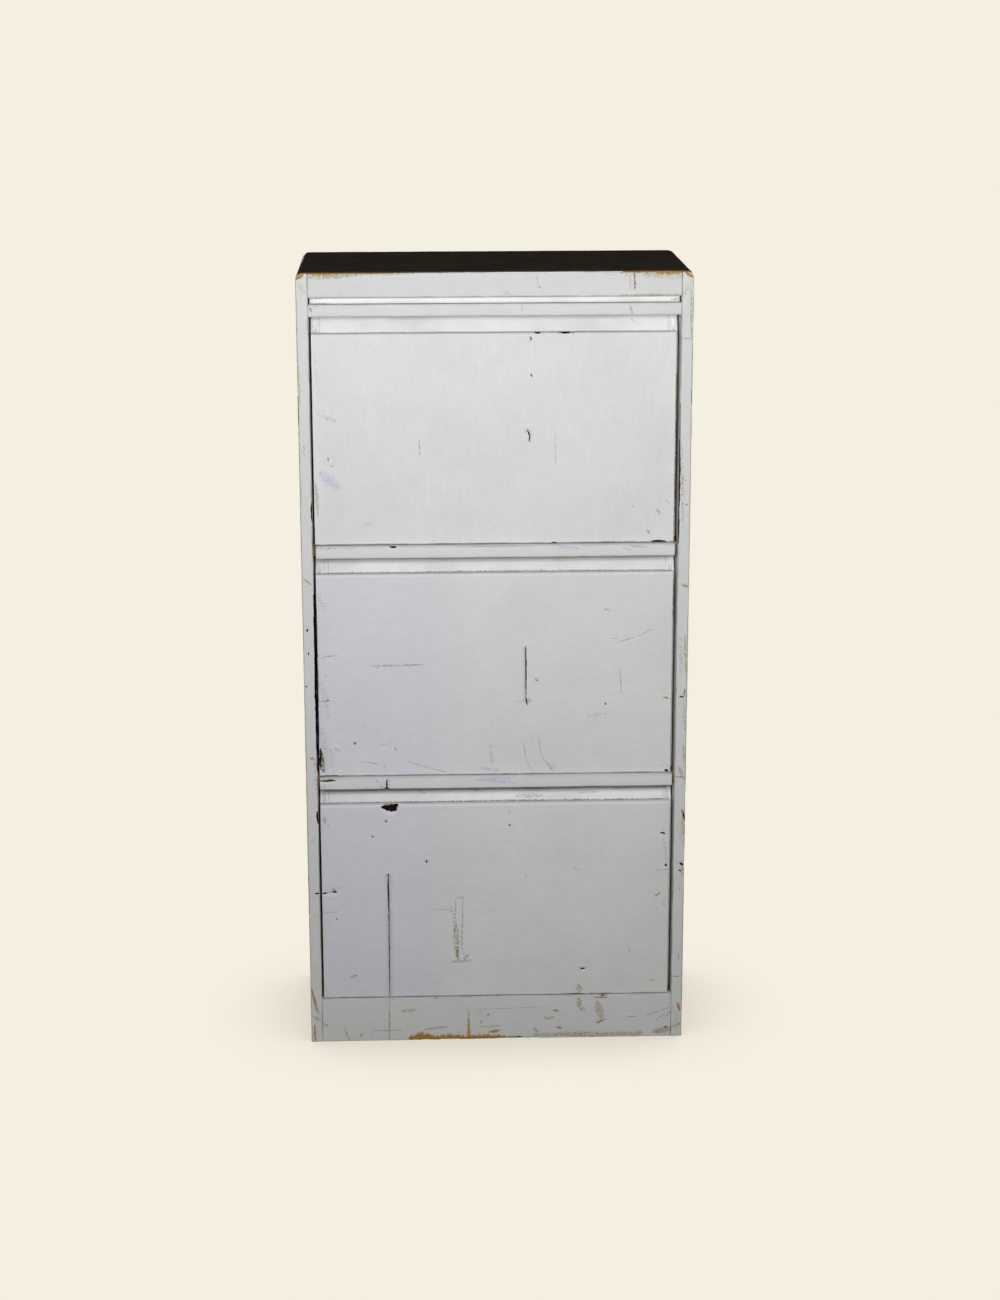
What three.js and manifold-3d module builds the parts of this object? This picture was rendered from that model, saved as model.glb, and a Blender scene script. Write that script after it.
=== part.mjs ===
// Tall painted cabinet with three deep inset drawers and a pull-out board under the top rail.
// Millimetres, +Z up. The origin is at the middle of the footprint on the floor; the front faces -Y.
import * as THREE from 'three';
import { mergeVertices } from 'three/addons/utils/BufferGeometryUtils.js';
import Module from 'manifold-3d';

const wasm = await Module();
wasm.setup();

// ---- driving dimensions -------------------------------------------------------------------------
const CASE_WIDTH = 590;
const CASE_HEIGHT = 1219;
const CASE_DEPTH = 286;
const BOARD = 18;               // thickness of every case board
const BASE_HEIGHT = 71.5;       // the lowest drawer runs at this height
const OPENING_HEIGHT = 348.5;   // clear height of each drawer's opening
const SLOT_HEIGHT = 10;         // slot of the pull-out board
const COVERING = 1.5;           // thin black sheet glued on the top
const BACK_THICKNESS = 6;
const CORNER_RADIUS = 12;       // top outer corners, seen from the front
const DADO_DEPTH = 6;           // the shelves are let into the side boards by this much
const FIT = 0.3;                // gap left round a piece that sits in a cut

const BOX_WIDTH = 549;          // outside width of a drawer's box
const BOX_BOARD = 13;           // thickness of the drawer's sides, back and front panel
const BOX_BOTTOM = 6;
const BOX_HEIGHT = 344.5;       // top edge of the drawer's sides above the surface it runs on
const BOX_BACK_HEIGHT = 332;
const DRAWER_LENGTH = 250;      // from the front panel's face to the back of the box
const RUNNING_GAP = 0.5;        // what slides clears what it slides on
const PANEL_WIDTH = 545.5;
const PANEL_MIDDLE = -1.25;     // the panels are fixed a little to the left of the boxes' middle
const PANEL_BOTTOM = 1.0;
const PANEL_TOP = 322;
const PANEL_EDGE_RADIUS = 5;    // rounded upper front edge of the panel
const PULL_LEAN = THREE.MathUtils.degToRad(25);   // the finger pull leans back by this angle
const PULL_GROOVE = 8;          // the finger pull meets the panel this far below its top edge
const PULL_FOOT = 17.5;         // and reaches this much further down behind it

const BLOCK = 16;               // square section of the corner blocks inside a drawer
const BLOCK_TOP = 280;
const SCREW_HEIGHTS = { lower: 60, upper: 230 };
const SCREW = { headRadius: 3.5, headHeight: 2.4, radius: 1.75, length: 24, point: 4, sides: 8 };
const STOP = { width: 30, height: 25, centre: 240 };

const SLIDE_BOARD = { width: 550, length: 240, thickness: 9, corner: 6, recess: 3 };
const SLIDE_STOP = { width: 480, length: 20, height: 12.5 };
const KICKER_WIDTH = 30;

// ---- places worked out from them ----------------------------------------------------------------
const FRONT = -CASE_DEPTH / 2;
const BACK = CASE_DEPTH / 2 - BACK_THICKNESS;   // front face of the back panel
const INNER_X = CASE_WIDTH / 2 - BOARD;
const BEHIND_FRONT = FRONT + BOARD;             // back of the rails and of the shelves' lips
const TOP = CASE_HEIGHT - COVERING;
const PITCH = OPENING_HEIGHT + BOARD;

// Drawers from the top down: the height each runs on, and how far its panel lies behind the case front.
const DRAWERS = [
  { name: 'drawer_1', floor: BASE_HEIGHT + 2 * PITCH, recess: 12 },
  { name: 'drawer_2', floor: BASE_HEIGHT + PITCH, recess: 9 },
  { name: 'drawer_3', floor: BASE_HEIGHT, recess: 4 },
];
// Shelves from the top down: the height of the top face, and how short the lip is at each end.
const SHELVES = [
  { name: 'shelf_1', top: BASE_HEIGHT + 3 * PITCH, lipGap: 0 },
  { name: 'shelf_2', top: BASE_HEIGHT + 2 * PITCH, lipGap: 4.5 },
  { name: 'shelf_3', top: BASE_HEIGHT + PITCH, lipGap: 3.5 },
];
const SLOT_FLOOR = SHELVES[0].top;
const SLOT_TOP = SLOT_FLOOR + SLOT_HEIGHT;

// ---- materials ----------------------------------------------------------------------------------
const FINISHES = {
  paint: { color: 0xc9c9c9, roughness: 0.55, metalness: 0 },
  bareWood: { color: 0xb08a5c, roughness: 0.8, metalness: 0 },
  covering: { color: 0x1c1a17, roughness: 0.6, metalness: 0 },
  steel: { color: 0x7d766c, roughness: 0.45, metalness: 0.9 },
};

// ---- geometry helpers ---------------------------------------------------------------------------
function boxBetween(low, high) {
  const size = high.map((value, i) => value - low[i]);
  const middle = high.map((value, i) => (value + low[i]) / 2);
  return new THREE.BoxGeometry(...size).translate(...middle);
}

// A box between two x values given in either order.
function boxSpan(xa, xb, [y0, y1], [z0, z1]) {
  return boxBetween([Math.min(xa, xb), y0, z0], [Math.max(xa, xb), y1, z1]);
}

function outline(points) {
  return new THREE.Shape(points.map(([u, v]) => new THREE.Vector2(u, v)));
}

function extrude(shape, depth, curveSegments) {
  return new THREE.ExtrudeGeometry(shape, { depth, bevelEnabled: false, curveSegments });
}

// A shape drawn in (y, z), run from x0 to x1.
function alongX(shape, x0, x1) {
  const turn = new THREE.Matrix4().makeBasis(
    new THREE.Vector3(0, 1, 0), new THREE.Vector3(0, 0, 1), new THREE.Vector3(1, 0, 0));
  return extrude(shape, x1 - x0, 4).applyMatrix4(turn).translate(x0, 0, 0);
}

// A shape drawn in (x, z), run from y0 back to y1.
function alongY(shape, y0, y1) {
  const turn = new THREE.Matrix4().makeBasis(
    new THREE.Vector3(1, 0, 0), new THREE.Vector3(0, 0, 1), new THREE.Vector3(0, -1, 0));
  return extrude(shape, y1 - y0, 6).applyMatrix4(turn).translate(0, y1, 0);
}

// A turned piece that points along -Y: the profile is (radius, depth below the surface).
function turned(profile, sides) {
  const points = profile.map(([radius, depth]) => new THREE.Vector2(radius, depth));
  return new THREE.LatheGeometry(points, sides).rotateX(Math.PI);
}

function toSolid(geometry) {
  const bare = geometry.clone();
  bare.deleteAttribute('normal');
  bare.deleteAttribute('uv');
  const merged = mergeVertices(bare, 1e-4);
  return new wasm.Manifold(new wasm.Mesh({
    numProp: 3,
    vertProperties: Float32Array.from(merged.attributes.position.array),
    triVerts: Uint32Array.from(merged.index.array),
  }));
}

function toGeometry(solid) {
  const mesh = solid.getMesh();
  const geometry = new THREE.BufferGeometry();
  geometry.setAttribute('position', new THREE.BufferAttribute(Float32Array.from(mesh.vertProperties), 3));
  geometry.setIndex(new THREE.BufferAttribute(Uint32Array.from(mesh.triVerts), 1));
  geometry.computeVertexNormals();
  return geometry;
}

function cut(geometry, cutters) {
  return toGeometry(cutters.reduce((solid, cutter) => solid.subtract(toSolid(cutter)), toSolid(geometry)));
}

function addPiece(group, name, geometry, finish) {
  const mesh = new THREE.Mesh(geometry, new THREE.MeshStandardMaterial(FINISHES[finish]));
  mesh.name = name;
  group.add(mesh);
}

// ---- case ---------------------------------------------------------------------------------------
// Front view of an upright board from x0 to x1, with its top left or top right corner rounded or both.
function uprightOutline(x0, x1, roundLeft, roundRight) {
  const shape = new THREE.Shape();
  const shoulder = TOP - CORNER_RADIUS;
  shape.moveTo(x0, 0);
  shape.lineTo(x1, 0);
  if (roundRight) {
    shape.absarc(x1 - CORNER_RADIUS, shoulder, CORNER_RADIUS, 0, Math.PI / 2, false);
  } else {
    shape.lineTo(x1, TOP);
  }
  if (roundLeft) {
    shape.absarc(x0 + CORNER_RADIUS, shoulder, CORNER_RADIUS, Math.PI / 2, Math.PI, false);
  } else {
    shape.lineTo(x0, TOP);
  }
  shape.closePath();
  return shape;
}

// A side board stands the full height and is grooved for the four boards that cross the case.
function sideBoard(side) {
  const shape = side < 0
    ? uprightOutline(-CASE_WIDTH / 2, -INNER_X, true, false)
    : uprightOutline(INNER_X, CASE_WIDTH / 2, false, true);
  const crossing = [BASE_HEIGHT, ...SHELVES.map((shelf) => shelf.top)];
  const grooves = crossing.map((top) => boxSpan(
    side * (INNER_X - 1), side * (INNER_X + DADO_DEPTH),
    [BEHIND_FRONT - FIT, BACK + 1], [top - BOARD - FIT, top + FIT]));
  return cut(alongY(shape, FRONT, BACK), grooves);
}

// A board let into both sides, with its top face at the given height.
function crossBoard(top) {
  const halfWidth = INNER_X + DADO_DEPTH - FIT;
  return boxBetween([-halfWidth, BEHIND_FRONT, top - BOARD], [halfWidth, BACK, top]);
}

function frontStrip(bottom, top, endGap = 0) {
  return boxBetween([endGap - INNER_X, FRONT, bottom], [INNER_X - endGap, BEHIND_FRONT, top]);
}

function topBoard() {
  return boxBetween([-INNER_X, BEHIND_FRONT, TOP - BOARD], [INNER_X, BACK, TOP]);
}

function topCovering() {
  const halfWidth = CASE_WIDTH / 2 - CORNER_RADIUS;
  return boxBetween([-halfWidth, FRONT, TOP], [halfWidth, CASE_DEPTH / 2, CASE_HEIGHT]);
}

function backPanel() {
  return alongY(uprightOutline(-CASE_WIDTH / 2, CASE_WIDTH / 2, true, true), BACK, CASE_DEPTH / 2);
}

function buildCase(cabinet) {
  addPiece(cabinet, 'left_side', sideBoard(-1), 'paint');
  addPiece(cabinet, 'right_side', sideBoard(1), 'paint');
  addPiece(cabinet, 'top_board', topBoard(), 'paint');
  addPiece(cabinet, 'top_covering', topCovering(), 'covering');
  addPiece(cabinet, 'top_rail', frontStrip(SLOT_TOP, TOP), 'paint');
  for (const { name, top, lipGap } of SHELVES) {
    addPiece(cabinet, name, crossBoard(top), 'bareWood');
    addPiece(cabinet, `${name}_lip`, frontStrip(top - BOARD, top, lipGap), 'paint');
  }
  addPiece(cabinet, 'bottom_board', crossBoard(BASE_HEIGHT), 'bareWood');
  addPiece(cabinet, 'base_rail', frontStrip(0, BASE_HEIGHT), 'paint');
  addPiece(cabinet, 'back_panel', backPanel(), 'bareWood');
}

// ---- drawers ------------------------------------------------------------------------------------
// A drawer is drawn with its front face at y = 0 and the surface it runs on at z = 0.
const BOX_INNER_X = BOX_WIDTH / 2 - BOX_BOARD;
const SIDE_BOTTOM = RUNNING_GAP + BOX_BOTTOM;
const PULL_FRONT_FOOT = PANEL_TOP - PULL_GROOVE;
const PULL_FRONT_TOP = BOX_BOARD + (BOX_HEIGHT - PULL_FRONT_FOOT) * Math.tan(PULL_LEAN);
const PULL_DEPTH = BOX_BOARD / Math.cos(PULL_LEAN);   // the leaning board's thickness measured level

const SCREWS = Object.entries(SCREW_HEIGHTS).flatMap(([level, z]) => [
  { name: `${level}_left_screw`, x: -(BOX_INNER_X - BLOCK / 2), z },
  { name: `${level}_right_screw`, x: BOX_INNER_X - BLOCK / 2, z },
]);

// Round-headed screw through a corner block into the front panel.
function screwGeometry({ x, z }) {
  const { headRadius, headHeight, radius, length, point, sides } = SCREW;
  const profile = [
    [0, -headHeight], [headRadius * 0.65, -headHeight * 0.75], [headRadius, 0],
    [radius, 0], [radius, length - point], [0, length],
  ];
  return turned(profile, sides).translate(x, BOX_BOARD + BLOCK, z);
}

function screwHole({ x, z }) {
  const { radius, length, sides } = SCREW;
  const profile = [[0, -2], [radius + FIT, -2], [radius + FIT, length + FIT], [0, length + FIT]];
  return turned(profile, sides).translate(x, BOX_BOARD + BLOCK, z);
}

function frontPanel() {
  const radius = PANEL_EDGE_RADIUS;
  const shape = new THREE.Shape();
  shape.moveTo(0, PANEL_BOTTOM);
  shape.lineTo(BOX_BOARD, PANEL_BOTTOM);
  shape.lineTo(BOX_BOARD, PANEL_TOP);
  shape.absarc(radius, PANEL_TOP - radius, radius, Math.PI / 2, Math.PI, false);
  shape.closePath();
  const panel = alongX(shape, PANEL_MIDDLE - PANEL_WIDTH / 2, PANEL_MIDDLE + PANEL_WIDTH / 2);
  return cut(panel, SCREWS.map(screwHole));
}

// The sides' front ends stand behind the panel, and lean back above it in line with the finger pull.
function boxSide(side) {
  const shape = outline([
    [BOX_BOARD, SIDE_BOTTOM],
    [DRAWER_LENGTH, SIDE_BOTTOM],
    [DRAWER_LENGTH, BOX_HEIGHT],
    [PULL_FRONT_TOP, BOX_HEIGHT],
    [BOX_BOARD, PULL_FRONT_FOOT],
  ]);
  const xs = [side * BOX_WIDTH / 2, side * BOX_INNER_X].sort((a, b) => a - b);
  return alongX(shape, ...xs);
}

function fingerPull() {
  const foot = PULL_FRONT_FOOT - PULL_FOOT;
  const shape = outline([
    [BOX_BOARD, foot],
    [BOX_BOARD + PULL_DEPTH - PULL_FOOT * Math.tan(PULL_LEAN), foot],
    [PULL_FRONT_TOP + PULL_DEPTH, BOX_HEIGHT],
    [PULL_FRONT_TOP, BOX_HEIGHT],
    [BOX_BOARD, PULL_FRONT_FOOT],
  ]);
  return alongX(shape, -BOX_INNER_X, BOX_INNER_X);
}

function boxBack() {
  return boxBetween(
    [-BOX_INNER_X, DRAWER_LENGTH - BOX_BOARD, SIDE_BOTTOM], [BOX_INNER_X, DRAWER_LENGTH, BOX_BACK_HEIGHT]);
}

function boxBottom() {
  return boxBetween([-BOX_WIDTH / 2, BOX_BOARD, RUNNING_GAP], [BOX_WIDTH / 2, DRAWER_LENGTH, SIDE_BOTTOM]);
}

function cornerBlock(side) {
  const outer = side * BOX_INNER_X;
  const block = boxSpan(
    outer, outer - side * BLOCK, [BOX_BOARD, BOX_BOARD + BLOCK], [SIDE_BOTTOM, BLOCK_TOP]);
  return cut(block, SCREWS.filter(({ x }) => x * side > 0).map(screwHole));
}

function buildDrawer(cabinet, { name, floor, recess }) {
  const drawer = new THREE.Group();
  drawer.position.set(0, FRONT + recess, floor);
  addPiece(drawer, `${name}_front_panel`, frontPanel(), 'paint');
  addPiece(drawer, `${name}_finger_pull`, fingerPull(), 'paint');
  addPiece(drawer, `${name}_left_side`, boxSide(-1), 'bareWood');
  addPiece(drawer, `${name}_right_side`, boxSide(1), 'bareWood');
  addPiece(drawer, `${name}_back`, boxBack(), 'bareWood');
  addPiece(drawer, `${name}_bottom`, boxBottom(), 'bareWood');
  addPiece(drawer, `${name}_left_corner_block`, cornerBlock(-1), 'bareWood');
  addPiece(drawer, `${name}_right_corner_block`, cornerBlock(1), 'bareWood');
  for (const screw of SCREWS) {
    addPiece(drawer, `${name}_${screw.name}`, screwGeometry(screw), 'steel');
  }
  cabinet.add(drawer);
}

// Two blocks behind each drawer stop it when its panel is where it belongs.
function buildStops(cabinet, { name, floor, recess }) {
  const start = FRONT + recess + DRAWER_LENGTH + FIT;
  for (const [end, centre] of [['left', -STOP.centre], ['right', STOP.centre]]) {
    const block = boxBetween(
      [centre - STOP.width / 2, start, floor], [centre + STOP.width / 2, BACK, floor + STOP.height]);
    addPiece(cabinet, `${name}_${end}_stop`, block, 'bareWood');
  }
}

// ---- pull-out board -----------------------------------------------------------------------------
function slideBoard() {
  const { width, length, thickness, corner, recess } = SLIDE_BOARD;
  const front = FRONT + recess;
  const half = width / 2;
  const shape = new THREE.Shape();
  shape.moveTo(half, front + length);
  shape.lineTo(-half, front + length);
  shape.absarc(corner - half, front + corner, corner, Math.PI, 1.5 * Math.PI, false);
  shape.absarc(half - corner, front + corner, corner, 1.5 * Math.PI, 2 * Math.PI, false);
  shape.closePath();
  return extrude(shape, thickness, 4).translate(0, 0, SLOT_FLOOR + RUNNING_GAP);
}

// A batten across the board's rear end meets the back of the top rail when the board is right out.
function slideStop() {
  const bottom = SLOT_FLOOR + RUNNING_GAP + SLIDE_BOARD.thickness;
  const rear = FRONT + SLIDE_BOARD.recess + SLIDE_BOARD.length;
  return boxBetween(
    [-SLIDE_STOP.width / 2, rear - SLIDE_STOP.length, bottom],
    [SLIDE_STOP.width / 2, rear, bottom + SLIDE_STOP.height]);
}

// The kickers hang under the top board and keep the pulled-out board from tipping.
function kicker(side) {
  const outer = side * INNER_X;
  return boxSpan(
    outer, outer - side * KICKER_WIDTH, [BEHIND_FRONT, BACK], [SLOT_TOP + RUNNING_GAP, TOP - BOARD]);
}

function buildSlide(cabinet) {
  addPiece(cabinet, 'pull_out_board', slideBoard(), 'paint');
  addPiece(cabinet, 'pull_out_board_stop', slideStop(), 'bareWood');
  addPiece(cabinet, 'left_kicker', kicker(-1), 'bareWood');
  addPiece(cabinet, 'right_kicker', kicker(1), 'bareWood');
}

// ---- the whole cabinet --------------------------------------------------------------------------
const cabinet = new THREE.Group();
buildCase(cabinet);
buildSlide(cabinet);
for (const drawer of DRAWERS) {
  buildDrawer(cabinet, drawer);
  buildStops(cabinet, drawer);
}

export default cabinet;
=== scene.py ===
import math

import bmesh
import bpy
import numpy as np
from mathutils import Matrix, Vector, noise


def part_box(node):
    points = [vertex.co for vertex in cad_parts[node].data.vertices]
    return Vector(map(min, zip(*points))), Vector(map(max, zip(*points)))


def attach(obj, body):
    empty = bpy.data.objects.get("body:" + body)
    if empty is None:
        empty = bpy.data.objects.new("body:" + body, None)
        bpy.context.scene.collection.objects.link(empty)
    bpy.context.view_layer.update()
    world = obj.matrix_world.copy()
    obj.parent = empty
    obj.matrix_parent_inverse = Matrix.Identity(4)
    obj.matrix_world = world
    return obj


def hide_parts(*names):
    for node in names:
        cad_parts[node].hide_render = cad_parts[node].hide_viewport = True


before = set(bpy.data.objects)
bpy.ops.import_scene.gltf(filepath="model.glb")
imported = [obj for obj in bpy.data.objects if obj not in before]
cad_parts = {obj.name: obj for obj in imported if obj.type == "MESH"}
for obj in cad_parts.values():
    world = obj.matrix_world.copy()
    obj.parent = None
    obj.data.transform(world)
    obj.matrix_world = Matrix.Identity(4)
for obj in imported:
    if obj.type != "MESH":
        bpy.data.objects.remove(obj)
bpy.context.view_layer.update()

# A tall flat file cabinet of painted boards: two sides, three shelves with lip strips, a top rail and a
# base rail, a black covering on top, a pull-out board in a slot, and three drawers. Metres throughout.
# Every wooden piece is built again here with eased, knocked edges, and rides where its CAD node is.

MM = 0.001
TILT = math.radians(25)            # how far a drawer's finger pull leans back
DRAWERS = (1, 2, 3)
SIDES = ("left", "right")

# The case, as the frame gives it.
FRONT_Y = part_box("top_rail")[0].y
SIDE_INNER_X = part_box("top_rail")[1].x          # the sides' inner faces are at -x and +x
SIDE_OUTER_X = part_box("right_side")[1].x
BOARD_TOP_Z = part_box("right_side")[1].z
CORNER_RADIUS = 12 * MM                         # the sides' rounded top corners

# ---------------------------------------------------------------- boards as meshes

ARC_STEPS = 4                      # segments round one eased corner
EDGE_FADE = 3 * MM                 # how fast the wear on an edge dies away across a face
EDGE_ROUND = 1.2 * MM              # how far a board's long edges are eased
END_ROUND = 0.4 * MM               # how far the edges round its ends are eased
FINE_STEPS = (1.5 * MM, 5 * MM)    # extra rows of points beside an edge
CAP_ROWS = ((2.5 * MM, 0.15), (6 * MM, 0.3))   # inset of each row on a board's end, and its most in widths
KNOCKED_FROM = 0.3                 # knocks begin where the edge attribute is above this
MERGE = 1e-6
SWEEP_ORDER = {"x": (1, 2, 0), "y": (0, 2, 1), "z": (0, 1, 2)}   # a board's u, v and length, by axis


def unit(v):
    return v / np.linalg.norm(v)


def skin(mesh, rings):
    """The faces between closed rings of points, each ring joined to the next."""
    return [mesh.faces.new((low[j], low[(j + 1) % len(low)], high[(j + 1) % len(low)], high[j]))
            for low, high in zip(rings, rings[1:]) for j in range(len(low))]


def spaced(run, step):
    """Distances along a straight run, close together beside its ends and a step apart between them."""
    if run < 4 * FINE_STEPS[1]:
        return [run / 2]
    middle = np.linspace(FINE_STEPS[1], run - FINE_STEPS[1], max(2, round(run / step)))
    return [FINE_STEPS[0], *middle, run - FINE_STEPS[0]]


def outline(corners, step):
    """Points round a closed outline, anticlockwise, from its corners (u, v, radius), with the outward
    normal at each and how near it is to an outside corner, from 0 to 1."""
    arcs = []
    for i, (u, v, radius) in enumerate(corners):
        here = np.array((u, v))
        into = unit(here - corners[i - 1][:2])
        out = unit(np.array(corners[(i + 1) % len(corners)][:2]) - here)
        turn = math.atan2(into[0] * out[1] - into[1] * out[0], into @ out)
        reach = radius * math.tan(abs(turn) / 2)
        arcs.append((here - into * reach, here, here + out * reach, turn > 0))
    points, near = [], []
    for (a, corner, b, convex), (c, _, _, next_convex) in zip(arcs, arcs[1:] + arcs[:1]):
        sharpness = min(1.0, 2 * EDGE_ROUND / max(EDGE_ROUND, np.linalg.norm(corner - a)))
        for t in np.linspace(0, 1, ARC_STEPS + 1):
            points.append((1 - t) ** 2 * a + 2 * t * (1 - t) * corner + t * t * b)
            near.append(sharpness * convex)
        run = np.linalg.norm(c - b)
        for d in spaced(run, step):
            points.append(b + (c - b) * d / run)
            away = min(d if convex else 1, run - d if next_convex else 1)
            near.append(math.exp(-away / EDGE_FADE) * min(1.0, sharpness + away / EDGE_FADE))
    points = np.array(points)
    along = np.roll(points, -1, 0) - np.roll(points, 1, 0)
    normals = np.stack((along[:, 1], -along[:, 0]), 1)
    return points, normals / np.linalg.norm(normals, axis=1)[:, None], np.array(near)


def knocks(p, seed):
    """How knocked an edge is at p: mostly nothing, with soft worn stretches and a few sharper ones."""
    at = Vector(p) + Vector((seed * 1.7, seed * 0.9, seed * 2.3))
    soft = max(0.0, noise.fractal(at * 22, 1.0, 2.0, 2))
    sharp = max(0.0, noise.noise(at * 140) - 0.25)
    return soft + 1.5 * sharp


def plank(name, axis, corners, start, end, step=12 * MM, wear=0.5 * MM, seed=0, reshape=None):
    """A board swept along an axis from a closed outline in the other two, with eased and knocked edges.
    Its point attribute "edge" is 1 on the edges and falls to 0 across the faces."""
    order = SWEEP_ORDER[axis]
    ring, normals, near = outline(corners, step)
    length = end - start
    stations = [(0, END_ROUND, 1), (0.3 * END_ROUND, 0.3 * END_ROUND, 1), (END_ROUND, 0, 0.9)]
    stations += [(d, 0, math.exp(-min(d, length - d) / EDGE_FADE)) for d in spaced(length, step)
                 if END_ROUND < d < length - END_ROUND]
    stations += [(length - d, inset, e) for d, inset, e in stations[2::-1]]
    mesh = bmesh.new()
    edge_layer = mesh.verts.layers.float.new("edge")

    def in_space(u, v, sweep):
        p = [0.0, 0.0, 0.0]
        p[order[0]], p[order[1]], p[order[2]] = u, v, sweep
        return p

    def add_point(p, edge):
        vert = mesh.verts.new(reshape(Vector(p)) if reshape else p)
        vert[edge_layer] = edge
        return vert

    rings = []
    for along, inset, end_near in stations:
        row = []
        for (u, v), (nu, nv), corner_near in zip(ring, normals, near):
            edge = max(end_near, corner_near)
            knocked = knocks(in_space(u, v, start + along), seed) if edge > KNOCKED_FROM else 0.0
            back = inset + wear * edge * knocked
            row.append(add_point(in_space(u - nu * back, v - nv * back, start + along), edge))
        rings.append(row)
    for face in skin(mesh, rings):
        face.smooth = True
    # The ends of a four-cornered board: two narrowing rows of faces, on which the wear fades.
    low_uv, high_uv = ring.min(0), ring.max(0)
    width = min(high_uv - low_uv)
    insets = [min(inset, share * width) for inset, share in CAP_ROWS] if len(corners) == 4 else []
    for cap, place in ((rings[0], start), (rings[-1], end)):
        last = cap
        for inset in insets:
            margin = END_ROUND + inset
            row = [add_point(in_space(u, v, place), math.exp(-inset / EDGE_FADE))
                   for u, v in np.clip(ring - normals * END_ROUND, low_uv + margin, high_uv - margin)]
            skin(mesh, [last, row])
            last = row
        mesh.faces.new(last)
    bmesh.ops.remove_doubles(mesh, verts=mesh.verts, dist=MERGE)
    bmesh.ops.recalc_face_normals(mesh, faces=mesh.faces)
    return as_object(name, mesh)


def as_object(name, mesh):
    data = bpy.data.meshes.new(name)
    mesh.to_mesh(data)
    mesh.free()
    obj = bpy.data.objects.new(name, data)
    bpy.context.scene.collection.objects.link(obj)
    return obj


def rectangle(low_u, low_v, high_u, high_v, radii=(EDGE_ROUND,) * 4):
    """Its corners from the lower left, anticlockwise, each with a radius."""
    corners = (low_u, low_v), (high_u, low_v), (high_u, high_v), (low_u, high_v)
    return [(u, v, radius) for (u, v), radius in zip(corners, radii)]


def board(name, node, axis, **shape):
    """A square-edged board on a node's box, with its length along an axis."""
    low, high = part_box(node)
    low_u, low_v, start = (low[i] for i in SWEEP_ORDER[axis])
    high_u, high_v, end = (high[i] for i in SWEEP_ORDER[axis])
    radius = min(EDGE_ROUND, 0.3 * min(high_u - low_u, high_v - low_v))
    return plank(name, axis, rectangle(low_u, low_v, high_u, high_v, (radius,) * 4), start, end, **shape)


def plain(node, axis, body, wood, step=30 * MM, seed=0):
    """An unpainted board in the place of its node."""
    return fit(board("plain_" + node, node, axis, step=step, seed=seed), node, body, "bare_wood", wood)


def ragged_cutter(mesh, start, end, half_width, face_y, depth, seed):
    """Adds a ragged wedge that follows a stroke on a front face, from ahead of the face to its depth."""
    run = end - start
    along = run.normalized() if run.length > 0 else Vector((1, 0))
    across = Vector((-along.y, along.x))
    steps = max(5, round(run.length / (2.2 * MM)))
    length = run.length + 2 * half_width
    rings = []
    for y, scale in ((face_y - 1 * MM, 1.15), (face_y + 0.4 * depth, 0.85), (face_y + depth, 0.30)):
        ring = []
        for sign in (1, -1):
            for i in range(steps + 1):
                t = (i if sign > 0 else steps - i) / steps
                at = Vector((seed * 3.7, t * length / (7 * MM), sign * 2.0))
                width = half_width * (0.30 + 0.70 * math.sin(math.pi * t)) * (1 + 0.7 * noise.noise(at))
                drift = 0.8 * half_width * noise.noise(Vector((seed * 1.3, t * length / (16 * MM), 9)))
                reach = (t - 0.5) * scale if run.length < 4 * half_width else t - 0.5
                p = (start + end) / 2 + along * reach * length + across * (drift + sign * scale * width)
                ring.append(mesh.verts.new((p.x, y, p.y)))
        rings.append(ring)
    skin(mesh, rings)
    mesh.faces.new(rings[0][::-1])
    mesh.faces.new(rings[-1])


CUT_DEPTH = {"gouge": 1.5, "splinter": 1.1}    # in half widths


def gouge(piece, marks, low_z, face_y):
    """Cuts a piece's gouges and splinters into it. Bare, darkened wood shows in them."""
    for kind, usual_depth in CUT_DEPTH.items():
        for index, (x0, z0, x1, z1, half_width, *depth) in enumerate(marks.get(kind, ())):
            mesh = bmesh.new()
            deep = depth[0] if depth else usual_depth * half_width
            places = [Vector((x * MM, low_z + z * MM)) for x, z in ((x0, z0), (x1, z1))]
            ragged_cutter(mesh, *places, half_width * MM, face_y, deep * MM, index + len(piece.name))
            bmesh.ops.recalc_face_normals(mesh, faces=mesh.faces)
            cutter = as_object(kind + "_cutter", mesh)
            cutter.data.materials.append(split_wood(kind))
            carve(piece, cutter)


def fit(piece, node, body, slot, *materials):
    """Puts a finished piece in the place of its CAD node."""
    for material in materials:
        piece.data.materials.append(material)
    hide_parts(node)
    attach(piece, body)
    return piece


# ---------------------------------------------------------------- materials

class Field:
    """A value that varies over a surface: an output of a shader node, with plain arithmetic."""

    def __init__(self, graph, socket):
        self.graph, self.socket = graph, socket

    def __add__(self, other):
        return self.graph.math("ADD", self, other)

    def __sub__(self, other):
        return self.graph.math("SUBTRACT", self, other)

    def __rsub__(self, other):
        return self.graph.math("SUBTRACT", other, self)

    def __mul__(self, other):
        return self.graph.math("MULTIPLY", self, other)


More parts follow.
